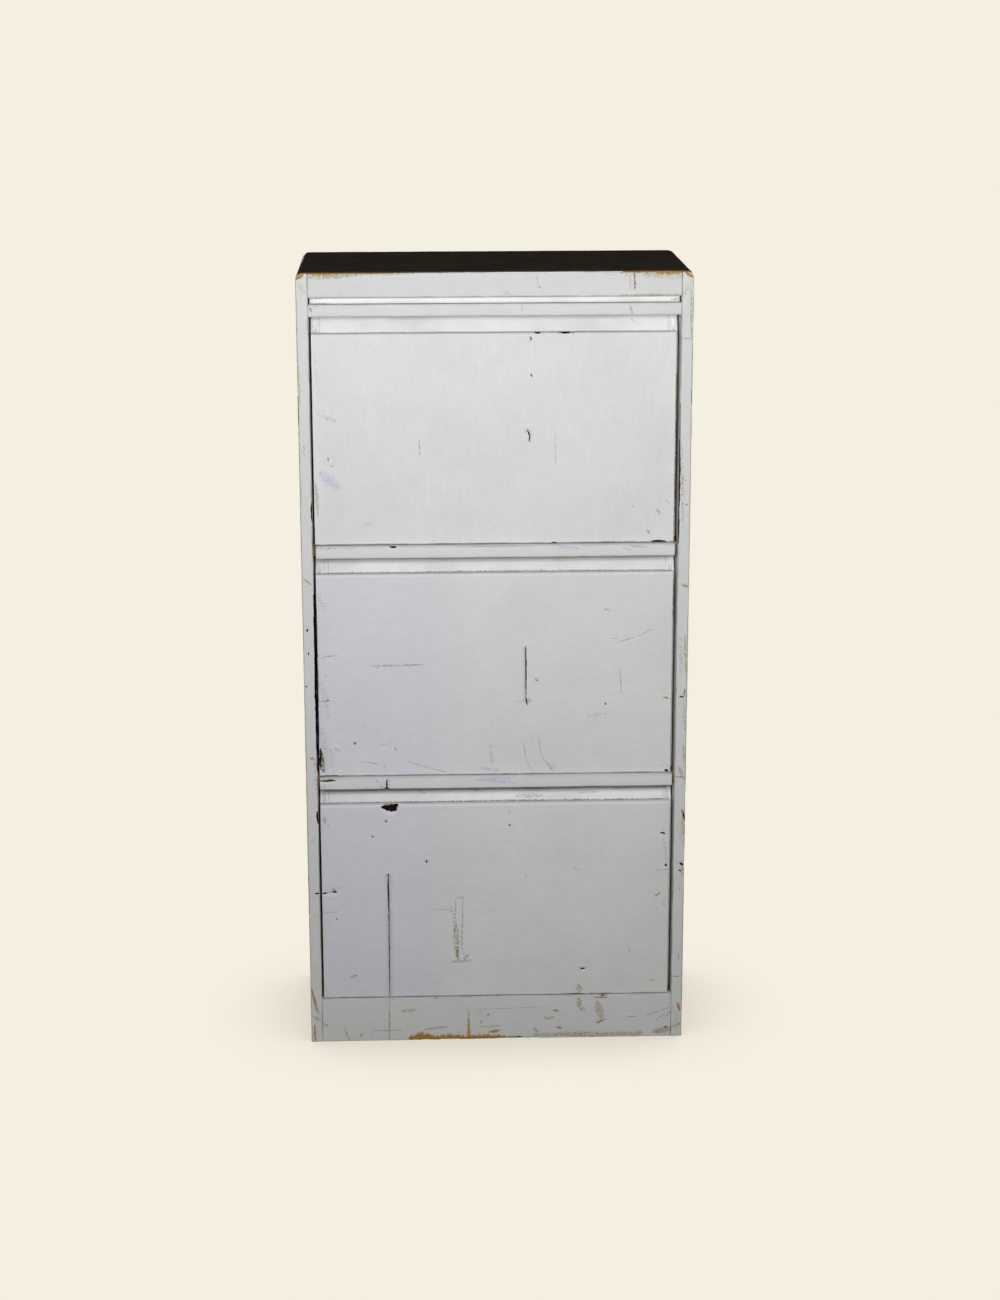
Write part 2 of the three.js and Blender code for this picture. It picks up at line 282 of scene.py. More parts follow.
class Graph:
    """A node tree, built with one call for each node."""

    def __init__(self, tree):
        self.tree = tree

    def add(self, kind, inputs=None, **settings):
        node = self.tree.nodes.new("ShaderNode" + kind)
        for key, value in settings.items():
            setattr(node, key, value)
        for key, value in (inputs or {}).items():
            self.put(node.inputs[key], value)
        return node

    def put(self, socket, value):
        if isinstance(value, Field):
            self.tree.links.new(value.socket, socket)
        else:
            socket.default_value = value

    def field(self, kind, output, inputs=None, **settings):
        """Adds a node and gives one of its outputs."""
        return Field(self, self.add(kind, inputs, **settings).outputs[output])

    def math(self, operation, *values, clamp=False):
        return self.field("Math", 0, dict(enumerate(values)), operation=operation, use_clamp=clamp)

    def vector(self, operation, *values):
        output = "Value" if operation in ("DOT_PRODUCT", "LENGTH") else "Vector"
        return self.field("VectorMath", output, dict(enumerate(values)), operation=operation)

    def noise(self, at, scale, detail=2.0, roughness=0.5, distortion=0.0):
        return self.field("TexNoise", "Fac", {"Vector": at, "Scale": scale, "Detail": detail,
                                              "Roughness": roughness, "Distortion": distortion})

    def rise(self, value, low, high, to=1.0):
        """0 below low and to above high, smoothly. With low above high it falls instead."""
        return self.field("MapRange", 0, {"Value": value, "From Min": low, "From Max": high, "To Max": to},
                          interpolation_type="SMOOTHSTEP")

    def mix(self, factor, a, b):
        return self.field("Mix", 2, {0: factor, 6: a, 7: b}, data_type="RGBA")

    def coordinate(self, at, axis):
        return self.field("SeparateXYZ", axis, {0: at})

    def here(self):
        return self.field("TexCoord", "Object")

    def edge(self):
        """How near a board's edge is: plank() stores it at every point."""
        return self.field("Attribute", "Fac", attribute_name="edge")

    def most(self, values):
        """The largest of several values."""
        out = values[0]
        for value in values[1:]:
            out = self.math("MAXIMUM", out, value)
        return out


def rgba(r, g, b):
    return (r, g, b, 1.0)


PAINT = rgba(0.735, 0.735, 0.738)
PAINT_SHADE = rgba(0.690, 0.690, 0.692)
PAINT_STILES = rgba(0.665, 0.668, 0.672)       # the sides, a darker grey than the panels
PAINT_RAIL = rgba(0.640, 0.640, 0.640)         # the top rail, darker still
PAINT_LAVENDER = rgba(0.662, 0.664, 0.775)
PAINT_HIGHLIT = rgba(0.875, 0.880, 0.892)         # painted highlight: a paler grey on the finger pulls and drawer sides, for the light their leaning faces catch
PAINT_NOSE_HIGHLIT = rgba(0.93, 0.93, 0.93)            # painted highlight: the pull-out board's rounded edge, the brightest, for the light it catches from above
GRIME = rgba(0.22, 0.20, 0.13)
WOOD_PALE = rgba(0.47, 0.31, 0.17)
WOOD_DARK = rgba(0.26, 0.145, 0.065)
WOOD_DUSTY = rgba(0.36, 0.28, 0.19)
BURNT = rgba(0.045, 0.024, 0.014)              # old wood under a chip, gone dark
SHEET_DARK = rgba(0.050, 0.044, 0.032)         # the black covering, in two close tones
SHEET_LESS_DARK = rgba(0.064, 0.057, 0.042)
SHEET_SCUFF = rgba(0.090, 0.080, 0.062)
SHEET_SPECK = rgba(0.30, 0.25, 0.21)
SHEET_FRAYED = rgba(0.11, 0.070, 0.040)
STEEL = rgba(0.34, 0.32, 0.29)
STEEL_RUST = rgba(0.17, 0.075, 0.032)
MARK_COLOURS = {                               # each kind of mark: its colour and its strength
    "gouge": (rgba(0.017, 0.008, 0.005), 1.0),
    "splinter": (rgba(0.095, 0.050, 0.026), 1.0),
    "rust": (rgba(0.150, 0.080, 0.034), 0.95),
    "orange": (rgba(0.47, 0.26, 0.030), 0.9),
    "fringe": (rgba(0.42, 0.215, 0.020), 0.95),
    "halo": (rgba(0.52, 0.46, 0.20), 0.45),
    "stain": (rgba(0.28, 0.255, 0.085), 0.6),
    # dirt with painted shade, where a finger pull's leaning face meets the back of its panel
    "groove_dirt_and_shade": (rgba(0.17, 0.15, 0.085), 0.8),
    "speckle": (rgba(0.050, 0.034, 0.020), 0.85),
    # a painted highlight: the top rail's upper edge, lit from above
    "edge_highlight": (rgba(0.93, 0.93, 0.92), 0.9),
    "scratch": (rgba(0.20, 0.18, 0.13), 0.65),
    "blue": (rgba(0.36, 0.41, 0.62), 0.5),
}
BROKEN_MARKS = ("stain", "halo", "blue", "scratch", "rust", "groove_dirt_and_shade")   # broken up by the paint's grain
WOODY_MARKS = ("rust", "orange", "fringe")     # darker in places, like old bare wood
SUNK_MARKS = ("rust", "scratch")
MARK_REACH = 8 * MM                            # how far behind its face a mark dies away
# How noise is stretched along each axis: for brush marks, and for the longer grain of bare wood.
ALONG = {"x": (1.0, 14.0, 14.0), "y": (14.0, 1.0, 14.0), "z": (14.0, 14.0, 1.0)}
LONG_GRAIN = {"x": (0.3, 14.0, 14.0), "y": (14.0, 0.3, 14.0), "z": (14.0, 14.0, 0.3)}


def mark_group():
    """A node group for one scuff or scratch: a ragged stroke from one point to another on a flat face."""
    if "Mark" in bpy.data.node_groups:
        return bpy.data.node_groups["Mark"]
    tree = bpy.data.node_groups.new("Mark", "ShaderNodeTree")
    for label, kind in (("Vector", "Vector"), ("From", "Vector"), ("To", "Vector"),
                        ("Width", "Float"), ("Ragged", "Float")):
        tree.interface.new_socket(label, in_out="INPUT", socket_type="NodeSocket" + kind)
    tree.interface.new_socket("Mask", in_out="OUTPUT", socket_type="NodeSocketFloat")
    g = Graph(tree)
    given = {socket.name: Field(g, socket) for socket in tree.nodes.new("NodeGroupInput").outputs}
    reach = g.vector("SUBTRACT", given["Vector"], given["From"])
    run = g.vector("SUBTRACT", given["To"], given["From"])
    length2 = g.vector("DOT_PRODUCT", run, run) + 1e-9
    share = g.math("DIVIDE", g.vector("DOT_PRODUCT", reach, run), length2, clamp=True)
    nearest = g.field("VectorMath", "Vector", {0: run, "Scale": share}, operation="SCALE")
    away = g.vector("LENGTH", g.vector("SUBTRACT", reach, nearest))
    width = given["Width"] * (1.15 - g.math("ABSOLUTE", share - 0.5))
    rough = (given["Ragged"] - 0.5) * (width * 2.6)
    mask = g.rise(away + rough, width, width * 0.55)
    g.put(tree.nodes.new("NodeGroupOutput").inputs["Mask"], mask)
    return tree


def marks_on(g, here, marks, low_z, front=None):
    """The mask of each kind of mark on a piece. The marks lie at its front, or on the outer face of a
    side board where no front is given."""
    ragged = g.noise(here, 420.0, 2.0, 0.6)
    fibrous = g.noise(g.vector("MULTIPLY", here, (1.0, 1.0, 0.12)), 560.0, 3.0, 0.6)
    if front is None:
        keep, outside = (0, 1, 1), g.math("ABSOLUTE", g.coordinate(here, "X"))
        on_face = g.rise(outside, SIDE_OUTER_X - 0.5 * MARK_REACH, SIDE_OUTER_X - 0.2 * MARK_REACH)
    else:
        keep = (1, 0, 1)
        on_face = g.rise(g.coordinate(here, "Y"), front + MARK_REACH, front + 0.5 * MARK_REACH)
    flat = g.vector("MULTIPLY", here, keep)

    def place(across, up):
        return keep[0] * across * MM, keep[1] * across * MM, low_z + up * MM

    def stroke(kind, across0, up0, across1, up1, width):
        return g.field("Group", "Mask", {
            "Vector": flat, "Ragged": fibrous if kind == "fringe" else ragged, "Width": width * MM,
            "From": place(across0, up0), "To": place(across1, up1)}, node_tree=mark_group())

    return [(kind, g.most([stroke(kind, *mark[:5]) for mark in strokes]) * on_face)
            for kind, strokes in marks.items()]


def wood_colour(g, here, grain):
    """Straight-grained softwood: long streaks of early and late wood, with dust in the hollows."""
    along = g.vector("MULTIPLY", here, LONG_GRAIN[grain])
    broad = g.noise(along, 7.2, 3.0, 0.55, 0.9)
    lines = g.noise(along, 39.6, 3.0, 0.65, 0.3)
    colour = g.mix(g.rise(broad, 0.35, 0.68), WOOD_PALE, WOOD_DARK)
    colour = g.mix(g.rise(lines, 0.52, 0.72, 0.6), colour, WOOD_DARK)
    dust = g.rise(g.noise(here, 30.0, 3.0), 0.42, 0.7, 0.5)
    return g.mix(dust, colour, WOOD_DUSTY), lines


def new_material(name):
    material = bpy.data.materials.new(name)
    material.use_nodes = True
    return material, Graph(material.node_tree)


def node_of(tree, kind):
    return next(node for node in tree.nodes if node.type == kind)


def shade_with(g, colour, roughness, height, depth, specular, metallic=0.0):
    """Links a colour, a roughness and a height in shares of depth (metres) to the shader."""
    bump = g.field("Bump", "Normal", {"Height": height, "Strength": 1.0, "Distance": depth})
    for label, value in (("Base Color", colour), ("Roughness", roughness), ("Metallic", metallic),
                         ("Specular IOR Level", specular), ("Normal", bump)):
        g.put(node_of(g.tree, "BSDF_PRINCIPLED").inputs[label], value)


def coat_colour(g, here, streak, mottle, coat, cool):
    """Two close greys in broad clouds, a lavender cast in places and to the right of cool, brush streaks."""
    cloud = g.noise(here, 7.0, 3.0, 0.6)
    shade = g.mix(g.rise(cloud, 0.35, 0.7), coat, g.mix(0.75, coat, PAINT_SHADE))
    cast = g.rise(g.noise(here, 4.3, 2.0, 0.5, 0.4), 0.57, 0.79, 0.3)
    if cool is not None:
        reach = g.coordinate(here, "X") - cool + cloud * (90 * MM)
        cast = g.math("MAXIMUM", cast, g.rise(reach, 290 * MM, 180 * MM, 0.45))
    shade = g.mix(cast, shade, PAINT_LAVENDER)
    tone = streak * 0.12 + mottle * 0.11 + 0.885
    return g.vector("MULTIPLY", shade, g.field("CombineXYZ", 0, {0: tone, 1: tone, 2: tone}))


def painted(name, grain, planes, marks, low_z=0.0, front=FRONT_Y, coat=PAINT, chips=0.5, scuffed=0.5,
            grime=1.0, cool=None):
    """Old brushed paint on wood. It covers what lies behind any of the planes (point, normal), and
    beyond them the wood is bare. chips and scuffed, from 0 to 1, say how worn its edges and faces are,
    and grime how dirty its edges are.
    Where the paint has a cool cast along the left, cool is the x of that edge."""
    material, g = new_material(name)
    here, edge = g.here(), g.edge()
    streak = g.noise(g.vector("MULTIPLY", here, ALONG[grain]), 26.0, 3.0, 0.65)
    mottle = g.noise(here, 95.0, 3.0, 0.7)
    shade = coat_colour(g, here, streak, mottle, coat, cool)

    # Dirt gathers along the edges and in faint rubbed patches.
    patchy = g.noise(here, 34.0, 4.0, 0.65)
    fine = g.noise(here, 260.0, 3.0, 0.7)
    dirt = g.rise(edge, 0.68, 1.0) * g.rise(patchy, 0.25, 0.62, 0.62 * grime)
    rubbed = g.rise(patchy * 0.6 + fine * 0.4, 0.70 - 0.06 * scuffed, 0.80, 0.40)
    shade = g.mix(g.math("MAXIMUM", dirt, rubbed), shade, GRIME)
    speckled = g.noise(here, 300.0, 1.0, 0.5) + patchy * 0.12
    shade = g.mix(g.rise(speckled, 0.865 - 0.02 * scuffed, 0.90, 0.7), shade, GRIME)

    # Chips: the paint is gone along stretches of the edges.
    loss = edge * 0.55 + patchy * 0.75 + (fine - 0.5) * 0.5
    chip = g.rise(loss, 1.16 - 0.16 * chips, 1.20 - 0.16 * chips)

    # Where there is paint at all.
    ragged = (g.noise(here, 60.0, 3.0) - 0.5) * (9 * MM)
    covers = []
    for point, normal in planes:
        ahead = g.vector("DOT_PRODUCT", g.vector("SUBTRACT", here, tuple(point)), tuple(normal))
        covers.append(g.rise(ahead + ragged, 0.4 * MM, -0.4 * MM))
    cover = g.most(covers) * (1.0 - chip)

    bare, grain_lines = wood_colour(g, here, grain)
    bare = g.mix(chip * g.rise(fine, 0.3, 0.6), bare, BURNT)
    colour = g.mix(cover, bare, shade)
    height = streak * 0.25 + mottle * 0.12 + cover * 0.35 + grain_lines * 0.12
    for kind, mask in marks_on(g, here, marks, low_z, front):
        tint, strength = MARK_COLOURS[kind]
        if kind in BROKEN_MARKS:
            mask *= g.rise(fine, 0.30, 0.60)
        if kind == "speckle":
            mask *= g.rise(g.noise(here, 620.0, 2.0, 0.7), 0.56, 0.64)
        if kind in WOODY_MARKS:
            tint = g.mix(g.rise(fine, 0.52, 0.70, 0.7), tint, BURNT)
        colour = g.mix(mask * strength, colour, tint)
        if kind in SUNK_MARKS:
            height -= mask * 0.45
    shade_with(g, colour, cover * -0.30 + patchy * 0.16 + 0.76, height, 0.45 * MM, 0.3)
    return material


def bare_wood(name, grain, dust=0.3):
    """Unpainted softwood inside the cabinet, dull with age."""
    material, g = new_material(name)
    here = g.here()
    colour, lines = wood_colour(g, here, grain)
    worn = g.edge() * g.rise(g.noise(here, 40.0, 3.0), 0.4, 0.65, 0.5)
    colour = g.mix(worn, colour, BURNT)
    colour = g.mix(g.rise(g.noise(here, 11.0, 4.0, 0.6), 0.45, 0.8, dust), colour, GRIME)
    shade_with(g, colour, lines * 0.2 + 0.68, lines, 0.25 * MM, 0.2)
    return material


def split_wood(kind):
    """Wood laid bare where a piece is gouged or splintered, in short broken fibres."""
    name = kind + "_wood"
    if name in bpy.data.materials:
        return bpy.data.materials[name]
    material, g = new_material(name)
    fibres = g.noise(g.vector("MULTIPLY", g.here(), ALONG["x"]), 70.0, 3.0, 0.7)
    tint = MARK_COLOURS[kind][0]
    pale = rgba(*(2.2 * c for c in tint[:3]))
    shade_with(g, g.mix(g.rise(fibres, 0.42, 0.66), tint, pale), fibres * 0.1 + 0.8, fibres, 0.3 * MM, 0.02)
    return material


def black_covering(name):
    """The black sheet on the top: dull, finely scuffed, and brown along its ragged edges."""
    material, g = new_material(name)
    here = g.here()
    patchy = g.noise(here, 24.0, 4.0, 0.65)
    fine = g.noise(here, 300.0, 3.0, 0.7)
    scuffs = g.noise(g.vector("MULTIPLY", here, ALONG["x"]), 16.0, 3.0, 0.7)
    specks = g.noise(here, 210.0, 1.0)
    colour = g.mix(g.rise(patchy, 0.35, 0.7), SHEET_DARK, SHEET_LESS_DARK)
    colour = g.mix(g.rise(scuffs, 0.62, 0.74, 0.5), colour, SHEET_SCUFF)
    colour = g.mix(g.rise(specks, 0.765, 0.79, 0.8), colour, SHEET_SPECK)
    colour = g.mix(g.rise(g.edge() * 0.6 + fine * 0.6, 0.88, 0.98), colour, SHEET_FRAYED)
    shade_with(g, colour, patchy * 0.2 + 0.72, fine * 0.4 + scuffs * 0.6, 0.12 * MM, 0.0)
    return material


def old_steel(name):
    """Screw and nail heads: dull steel with rust in patches."""
    material, g = new_material(name)
    here = g.here()
    rusty = g.rise(g.noise(here, 650.0, 4.0, 0.7), 0.42, 0.62)
    fine = g.noise(here, 2400.0, 2.0, 0.6)
    shade_with(g, g.mix(rusty, STEEL, STEEL_RUST), rusty * 0.4 + 0.38, fine, 0.05 * MM, 0.5,
               metallic=0.95 - rusty * 0.85)
    return material


# ---------------------------------------------------------------- marks of use, by piece

# Each mark is a stroke in millimetres: across and up at one end, across and up at the other, and its
# half width. A sixth number is the depth of a cut. Across is from the cabinet's middle, and up is from the
# piece's lower edge.
MARKS = {
    "top_rail": {
        # A painted highlight along the rail's upper edge, where it catches the light.
        "edge_highlight": [(-78, 36.2, 200, 36.2, 1)],
        "halo": [(-276, 29, -215, 32, 4), (225, 31, 276, 28, 5), (206, 34, 207, 8, 2.4)],
        "rust": [(206, 36, 207, 10, 1.4)],
        "stain": [(-277, 34, -190, 35, 4.5), (-190, 35, -120, 36, 2.5), (185, 2, 272, 2, 1.8)],
        "fringe": [(-277, 36, -225, 36.5, 3.2), (-225, 36.5, -150, 36.5, 1.8), (190, 36, 240, 36, 2),
            (240, 35, 277, 35, 3.6)],
        "speckle": [(-276, 30, -205, 33, 4), (165, 33, 276, 31, 4), (-232, 8, -224, 3, 3),
            (12, 7, 22, 4, 2.2), (66, 14, 70, 12, 2)],
        "scratch": [(62, 32, 63, 14, 0.7), (200, 34, 200, 12, 0.6)],
    },
    "shelf_1_lip": {
        "stain": [(200, 14, 204, 2, 2.2), (-270, 16, -262, 16, 1)],
        "rust": [(-275, 15, -272, 8, 1.6)],
        "scratch": [(39, 17, 40, 6, 0.6)],
    },
    "shelf_2_lip": {
        "blue": [(96, 15, 125, 13, 3), (195, 12, 206, 9, 2.5)],
        "gouge": [(-159, 17.5, -152, 17.5, 1.6, 4)],
        "stain": [(205, 15, 232, 14, 1.6)],
        "scratch": [(-60, 17, 60, 17, 0.5)],
        "speckle": [(-270, 16, -240, 16, 2)],
    },
    "shelf_3_lip": {
        "blue": [(-30, 13, 20, 15, 3.5), (-6, 10, 30, 8, 3)],
        "gouge": [(-170, 14, -170, 2, 1.3, 2), (-172, 0, -168, 0, 2.4, 2.5)],
        "splinter": [(-272, 14.4, -251, 15, 1.8)],
        "speckle": [(-270, 9, -262, 5, 4), (-186, 14, -174, 2, 4), (80, 1, 92, 1, 1.5)],
    },
    "base_rail": {
        "stain": [(131, 66, 131, 54, 6), (76, 34, 90, 35, 3.6), (60, 18, 64, 11, 3), (160, 58, 166, 36, 8),
            (130, 52, 140, 47, 4), (225, 10, 232, 5, 2.6), (252, 8, 276, 12, 6), (60, 6, 230, 5, 4.5),
            (-242, 22, -235, 1, 1.8), (-276, 31, -268, 26, 3), (-171, 50, -171, 10, 1.6),
            (-115, 18, -78, 22, 2), (-150, 50, -130, 52, 3), (-45, 4, -45, 46, 3), (-26, 32, -24, 27, 2),
            (-30, 21, 5, 22, 1.6)],
        "orange": [(90, 47, 98, 46, 2.2), (96, 18, 103, 17, 2.6), (156, 68, 176, 68, 1.8),
            (160, 24, 170, 30, 2.4), (266, 16, 273, 15, 2.4), (-218, 8, -214, 12, 1.6),
            (-45, 3, -45, 18, 3.4), (-45, 14, -45, 34, 1.8), (-15, 41, -12, 42, 2.2), (-12, 12, 4, 14, 3)],
        "gouge": [(160, 73, 176, 72.5, 1.6), (-9, -1, 71, -1, 2.6, 3)],
        "speckle": [(156, 26, 178, 34, 5), (126, 8, 142, 8, 4), (192, 9, 206, 9, 3), (250, 8, 276, 14, 4),
            (255, 30, 276, 40, 5), (-202, 13, -198, 11, 2)],
        "scratch": [(205, 35, 222, 34, 0.9), (240, 36, 275, 49, 1.1), (-198, 17, -152, 17, 0.9),
            (-170.5, 72, -171.5, 1, 1), (-60, 50, 80, 53, 0.5)],
        "fringe": [(-136, 3, -104, 4, 10), (-104, 3, -50, 2, 7), (-50, 2, 12, 2, 6)],
        "splinter": [(-132, -0.6, -104, 0, 2, 3), (-98, -0.8, -60, -0.4, 1.8, 3)],
    },
    "left_side": {
        "rust": [(-293, 757, -281, 747, 0.9)],
        "gouge": [(-294.6, 1035, -295, 975, 1.2), (-288, 677, -288, 674, 1.1), (-287, 640, -287, 637, 1.1),
            (-292, 587, -291, 586, 1.1), (-279, 384, -278, 366, 1.6), (-284, 250, -279, 250, 1.2),
            # (-277.3, 452, ...) is a deep cut whose near-black wood is painted shade in the gap beside the
            # middle drawer.
            (-277, 872, -277, 846, 2, 6), (-277.3, 452, -277.3, 730, 1.2, 40), (-294.8, 282, -295, 215, 1)],
        "stain": [(-293, 1080, -292, 1020, 2), (-293, 905, -294, 860, 1.4), (-293, 88, -282, 46, 1.8),
            (-290, 42, -282, 36, 3), (-293.5, 1180, -294, 700, 0.9), (-293.5, 560, -294, 120, 0.8),
            (-277.1, 1100, -277.1, 740, 0.9), (-277.1, 420, -277.1, 76, 1)],
        "speckle": [(-288, 960, -287, 945, 3), (-292, 45, -282, 40, 3.4), (-281, 470, -279, 420, 3),
            (-284, 400, -282, 392, 2.4)],
        "orange": [(-287, 472, -283, 470, 2.4), (-293, 90, -286, 52, 2), (-290, 28, -289, 2, 2)],
        "fringe": [(-294, 1209, -284, 1215, 3.4)],
        "halo": [(-291, 1203, -281, 1188, 4)],
        "scratch": [(-288, 212, -279, 212, 0.6), (-283, 340, -289, 333, 0.8)],
    },
    "right_side": {
        "orange": [(286, 739, 292, 738, 2), (289, 379, 293, 373, 2), (289, 55, 291, 44, 3.2)],
        "stain": [(290, 662, 293, 600, 2.6), (290, 484, 293, 458, 2.8), (284, 742, 293, 738, 2.6),
            (293, 575, 289, 563, 2.4), (284, 450, 292, 430, 3.2), (291, 372, 292, 340, 2.8),
            (290, 294, 292, 272, 2.2), (288, 142, 289, 130, 1.5), (279, 101, 292, 102, 1.2),
            (279, 16, 291, 20, 3), (291, 1190, 292, 1120, 2.2), (293.5, 1130, 294, 820, 0.9),
            (280, 908, 287, 902, 2.2), (294, 700, 294, 420, 1), (294, 250, 294, 60, 0.8),
            (277.1, 700, 277.1, 76, 1)],
        "gouge": [(284, 563.5, 289, 563, 1), (291, 378, 294.5, 362, 1.3), (289, 291, 292, 289, 1.8),
            (287, 280, 289, 279, 1.3), (294.6, 1040, 295, 1015, 1.1), (289, 866, 289.5, 865, 1)],
        "rust": [(291, 575, 291, 570, 1.2), (280, 434, 290, 433, 1.3), (285.5, 903, 286.5, 902, 0.9),
            (277.1, 1020, 277.1, 808, 1.7)],
        "blue": [(291, 540, 292, 510, 2.4)],
        "speckle": [(290, 560, 293, 505, 2.6), (283, 660, 285, 600, 3), (288, 346, 293, 318, 3.2),
            (279, 50, 291, 20, 4), (281, 960, 284, 830, 2.4)],
        "scratch": [(279, 293, 289, 292, 0.7), (286, 255, 291, 240, 1), (278, 102, 291, 102, 0.7),
            (279, 1118, 293, 1117, 1)],
        "fringe": [(282, 1216, 293, 1209, 3.4)],
        "halo": [(291, 1202, 281, 1184, 5)],
        "splinter": [(277.5, 965, 277.5, 806, 1.2, 8)],
    },
    "drawer_1_front_panel": {
        "gouge": [(49, 173, 52, 165, 1), (52, 166, 51, 157, 0.9), (54, 258, 55, 255, 0.9),
            (86, 0, 92, 0, 1.8, 4), (240, 0.5, 259, 0.5, 2.3, 5), (60, 321, 67, 321, 2, 6),
            (53, 314, 54, 310, 0.9), (98, 321.5, 112, 321.5, 1.5, 6)],
        "speckle": [(160, 2, 215, 1, 2), (-272, 100, -268, 55, 3.4), (-266, 200, -240, 190, 3),
            (-270, 300, -266, 230, 2.2), (-200, 30, -185, 34, 2.6)],
        "scratch": [(-114, 160, -114, 137, 1), (90, 172, 91, 120, 0.6)],
        "stain": [(-252, 135, -251, 129, 1.5), (-247, 123, -244, 121, 2.2), (231, 19, 234, 14, 2.4),
            (258, 65, 264, 60, 1.6), (246, 50, 250, 44, 2.4), (-271, 95, -269, 45, 1.8)],
        "orange": [(-252, 134, -251.5, 130, 0.8), (233, 15, 234, 14, 1.1)],
        "rust": [(94, 320, 118, 320, 1.2)],
        "blue": [(-262, 110, -240, 90, 9)],
    },
    "drawer_2_front_panel": {
        "gouge": [(46, 203, 46.5, 128, 0.9), (46, 124, 48, 112, 1.1), (-219, 53, -218, 52, 1.1),
            # (-274.4, 20, ...) cuts along the panel's left edge, widening that gap; its near-black wood is
            # painted shade there.
            (-274.4, 20, -274.4, 290, 1.1, 14), (-272, 44, -272, 12, 1.6), (-273, 0, -243, 0, 1.9, 5),
            (264, 3, 267, 3, 1.8), (169, 112, 170, 111, 1), (63, 151, 64, 150, 0.9),
            (7, -0.5, 20, -0.5, 1.2, 3), (26, -0.5, 31, -0.5, 1.2, 3)],
        "rust": [(46, 203, 46.5, 128, 1.3), (258, 121, 265, 121, 1.4), (-270, 40, -268, 8, 3)],
        "blue": [(42, 120, 44, 116, 1.6), (52, 119, 52, 117, 1.4), (84, 14, 90, 8, 5), (-9, 50, -8, 44, 3),
            (-22, 10, 4, 6, 4), (-8, 36, -6, 20, 4)],
        "speckle": [(36, 118, 58, 119, 3.5), (-190, 175, -112, 177, 2.6), (-264, 161, -240, 162, 1.8),
            (-268, 150, -258, 96, 5), (258, 12, 269, 10, 4), (-268, 74, -264, 6, 9), (-258, 44, -252, 4, 6),
            (140, 92, 170, 96, 3), (60, 150, 66, 156, 2.5), (-268, 290, -262, 266, 4),
            (-178, 24, -172, 6, 4), (-182, 48, -160, 56, 2)],
        "scratch": [(187, 209, 222, 221, 0.8), (222, 221, 240, 230, 0.6), (178, 216, 188, 216, 0.6),
            (-190, 177, -152, 177, 1.2), (-150, 177, -112, 178, 1.2), (-268, 191, -244, 194, 0.9),
            (43, 48, 47, 22, 0.7), (47, 22, 57, 3, 0.7), (66, 60, 70, 30, 0.8), (70, 30, 88, 4, 0.8),
            (191, 168, 194, 130, 0.7), (-210, 24, -178, 18, 0.8), (-136, 22, -104, 12, 0.7),
            (-104, 12, -70, 2, 0.7), (254, 136, 266, 134, 0.6)],
        "stain": [(168, 262, 176, 261, 2.2), (-270, 121, -258, 122, 1.6), (-248, 45, -244, 41, 2.4),
            (-157, 45, -155, 39, 2.2)],
        "orange": [(-262, 122, -257, 122, 1.8), (260, 121, 266, 120, 1.4)],
    },
    "drawer_3_front_panel": {
        "gouge": [(-175, 317.5, -157, 317.5, 4.2, 6), (-170, 312.5, -158, 311.5, 2.6, 6),
            (-168, 315.5, -160, 315, 4.6, 6), (-172, 294, -171, 293, 1), (-170, 206, -169.5, 150, 1.1),
            (-169.5, 156, -170, -2, 0.7), (-110, 228, -109, 225, 1.2), (-194, 269, -193, 268, 1),
            (20, 285, 20.6, 284, 1.2), (-272, 176, -267, 176, 1.4), (-258, 178, -251, 178, 1.2),
            (-252, 133, -251.4, 132, 0.8), (134, 43, 139, 43, 1.4), (258, 269, 264, 267, 1.2),
            (265.5, 215, 267, 214, 1.5), (104, 0.5, 140, 0.5, 0.9)],
        "rust": [(-170, 200, -169.5, 120, 1.3), (-67, 116, -66, 108, 1.2), (-63, 84, -62, 64, 1.7)],
        "speckle": [(20, 312, 20, 300, 1.8), (-262, 180, -244, 186, 3), (-72, 150, -50, 64, 4),
            (262, 275, 268, 205, 2.8), (-270, 306, -262, 288, 4), (-270, 12, -272, 3, 3),
            (64, 58, 66, 48, 2.2)],
        "scratch": [(-272, 143, -251, 145, 0.9), (252, 206, 268, 208, 0.7), (-108, 146, -70, 146, 0.6),
            (210, 78, 212, 68, 0.9), (45, 205, 47, 197, 0.7), (120, 212, 132, 208, 0.7)],
        "stain": [(-64, 164, -66, 118, 1.2), (-53, 166, -55, 84, 1.4), (-62, 166, -50, 166, 2.2),
            (-65, 118, -62, 62, 5), (-70, 58, -42, 60, 3), (-52, 62, -44, 70, 2.6),
            (-232, 34, -222, 37, 2.2), (262, 156, 265, 148, 2), (131, 2, 131, 14, 5),
            (243, 22, 252, 22, 1.8), (-269, 300, -267, 292, 2)],
        "orange": [(-226, 38, -221, 38, 1), (251, 164, 258, 169, 1.7)],
    },
    # Each finger pull's groove line is dirt with painted shade, where it meets the panel's back.
    "drawer_1_finger_pull": {
        "scratch": [(205, 30, 212, 24, 0.9)],
        "groove_dirt_and_shade": [(-262, 11, 262, 11, 1.6)],
    },
    "drawer_2_finger_pull": {
        "groove_dirt_and_shade": [(-262, 11, 262, 11, 2.6)],
        "scratch": [(-255, 30, -255, 10, 0.5)],
    },
    "drawer_3_finger_pull": {
        "blue": [(46, 30, 80, 28, 4), (32, 18, 72, 19, 4), (130, 22, 160, 23, 2.5), (-120, 26, -112, 24, 3),
            (-40, 30, -28, 28, 3)],
        "groove_dirt_and_shade": [(-262, 11, 262, 11, 2.2)],
    },
    "drawer_1_right_side": {
        "rust": [(272.5, 4, 272.5, 196, 3.2)],
        "fringe": [(273, 196, 273, 250, 1.6)],
    },
    "drawer_2_right_side": {
        "rust": [(272.5, 236, 272.5, 300, 2.4)],
    },
    "pull_out_board": {
        "stain": [(262, 4, 273, 5, 2), (-273, 1, -240, 0, 1.4), (-273, 8, -255, 9, 1.2)],
    },
}

